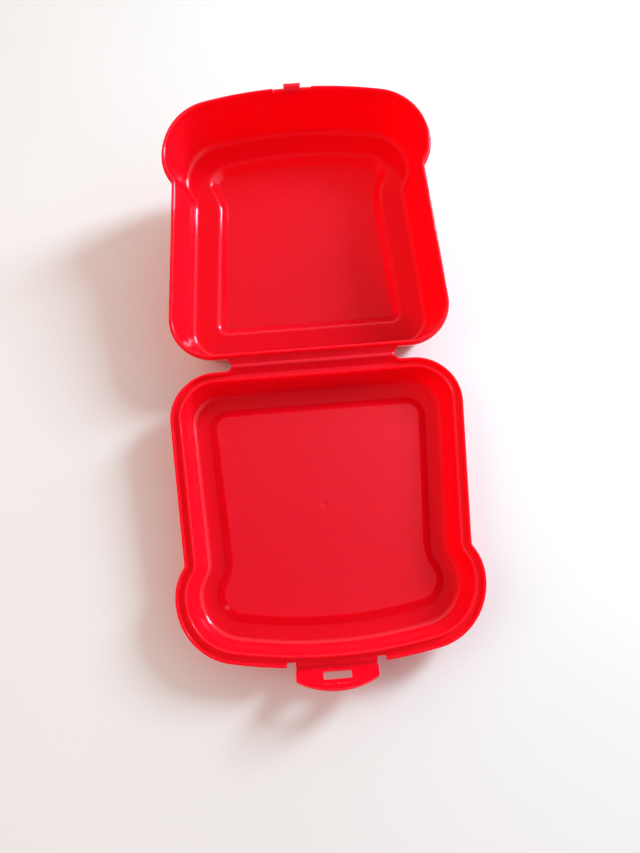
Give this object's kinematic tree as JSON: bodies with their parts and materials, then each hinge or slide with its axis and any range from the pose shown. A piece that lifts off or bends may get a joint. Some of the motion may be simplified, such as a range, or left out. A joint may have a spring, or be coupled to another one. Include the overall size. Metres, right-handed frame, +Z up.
{
  "type": "lunch box",
  "caption": "Toast-shaped moulded sandwich box lying open: deep tub and shallow lid on one living hinge, with a slotted latch flap that snaps over a catch.",
  "frame": {"origin": "on the table under the middle of the open box", "axes": "+X across the box along the hinge; +Y from the lid towards the tub; +Z up"},
  "size_m": [0.1454, 0.2943, 0.0642],
  "materials": {
    "moulded_red": "glossy moulded polypropylene, faintly translucent",
    "film_red": "thin flexed polypropylene film, lighter where it folds"
  },
  "bodies": {
    "lid": {"lid_shell": "moulded_red", "lid_rim": "moulded_red", "lid_hinge_land": "moulded_red", "hinge_film": "film_red", "latch_film": "film_red"},
    "tub": {"tub_shell": "moulded_red", "tub_rim": "moulded_red", "tub_catch": "moulded_red", "tub_hinge_land": "moulded_red"},
    "latch": {"latch_flap": "moulded_red"}
  },
  "joints": [
    {"name": "main_hinge", "type": "hinge", "parent": "lid", "child": "tub", "pos_m": [0, 0.00568, 0.02647], "axis": [1, 0, 0], "range_deg": [-11.2, 168.8]},
    {"name": "latch_hinge", "type": "hinge", "parent": "lid", "child": "latch", "pos_m": [0, -0.13841, 0.01454], "axis": [-1, 0, 0], "range_deg": [-50, 40]}
  ]
}
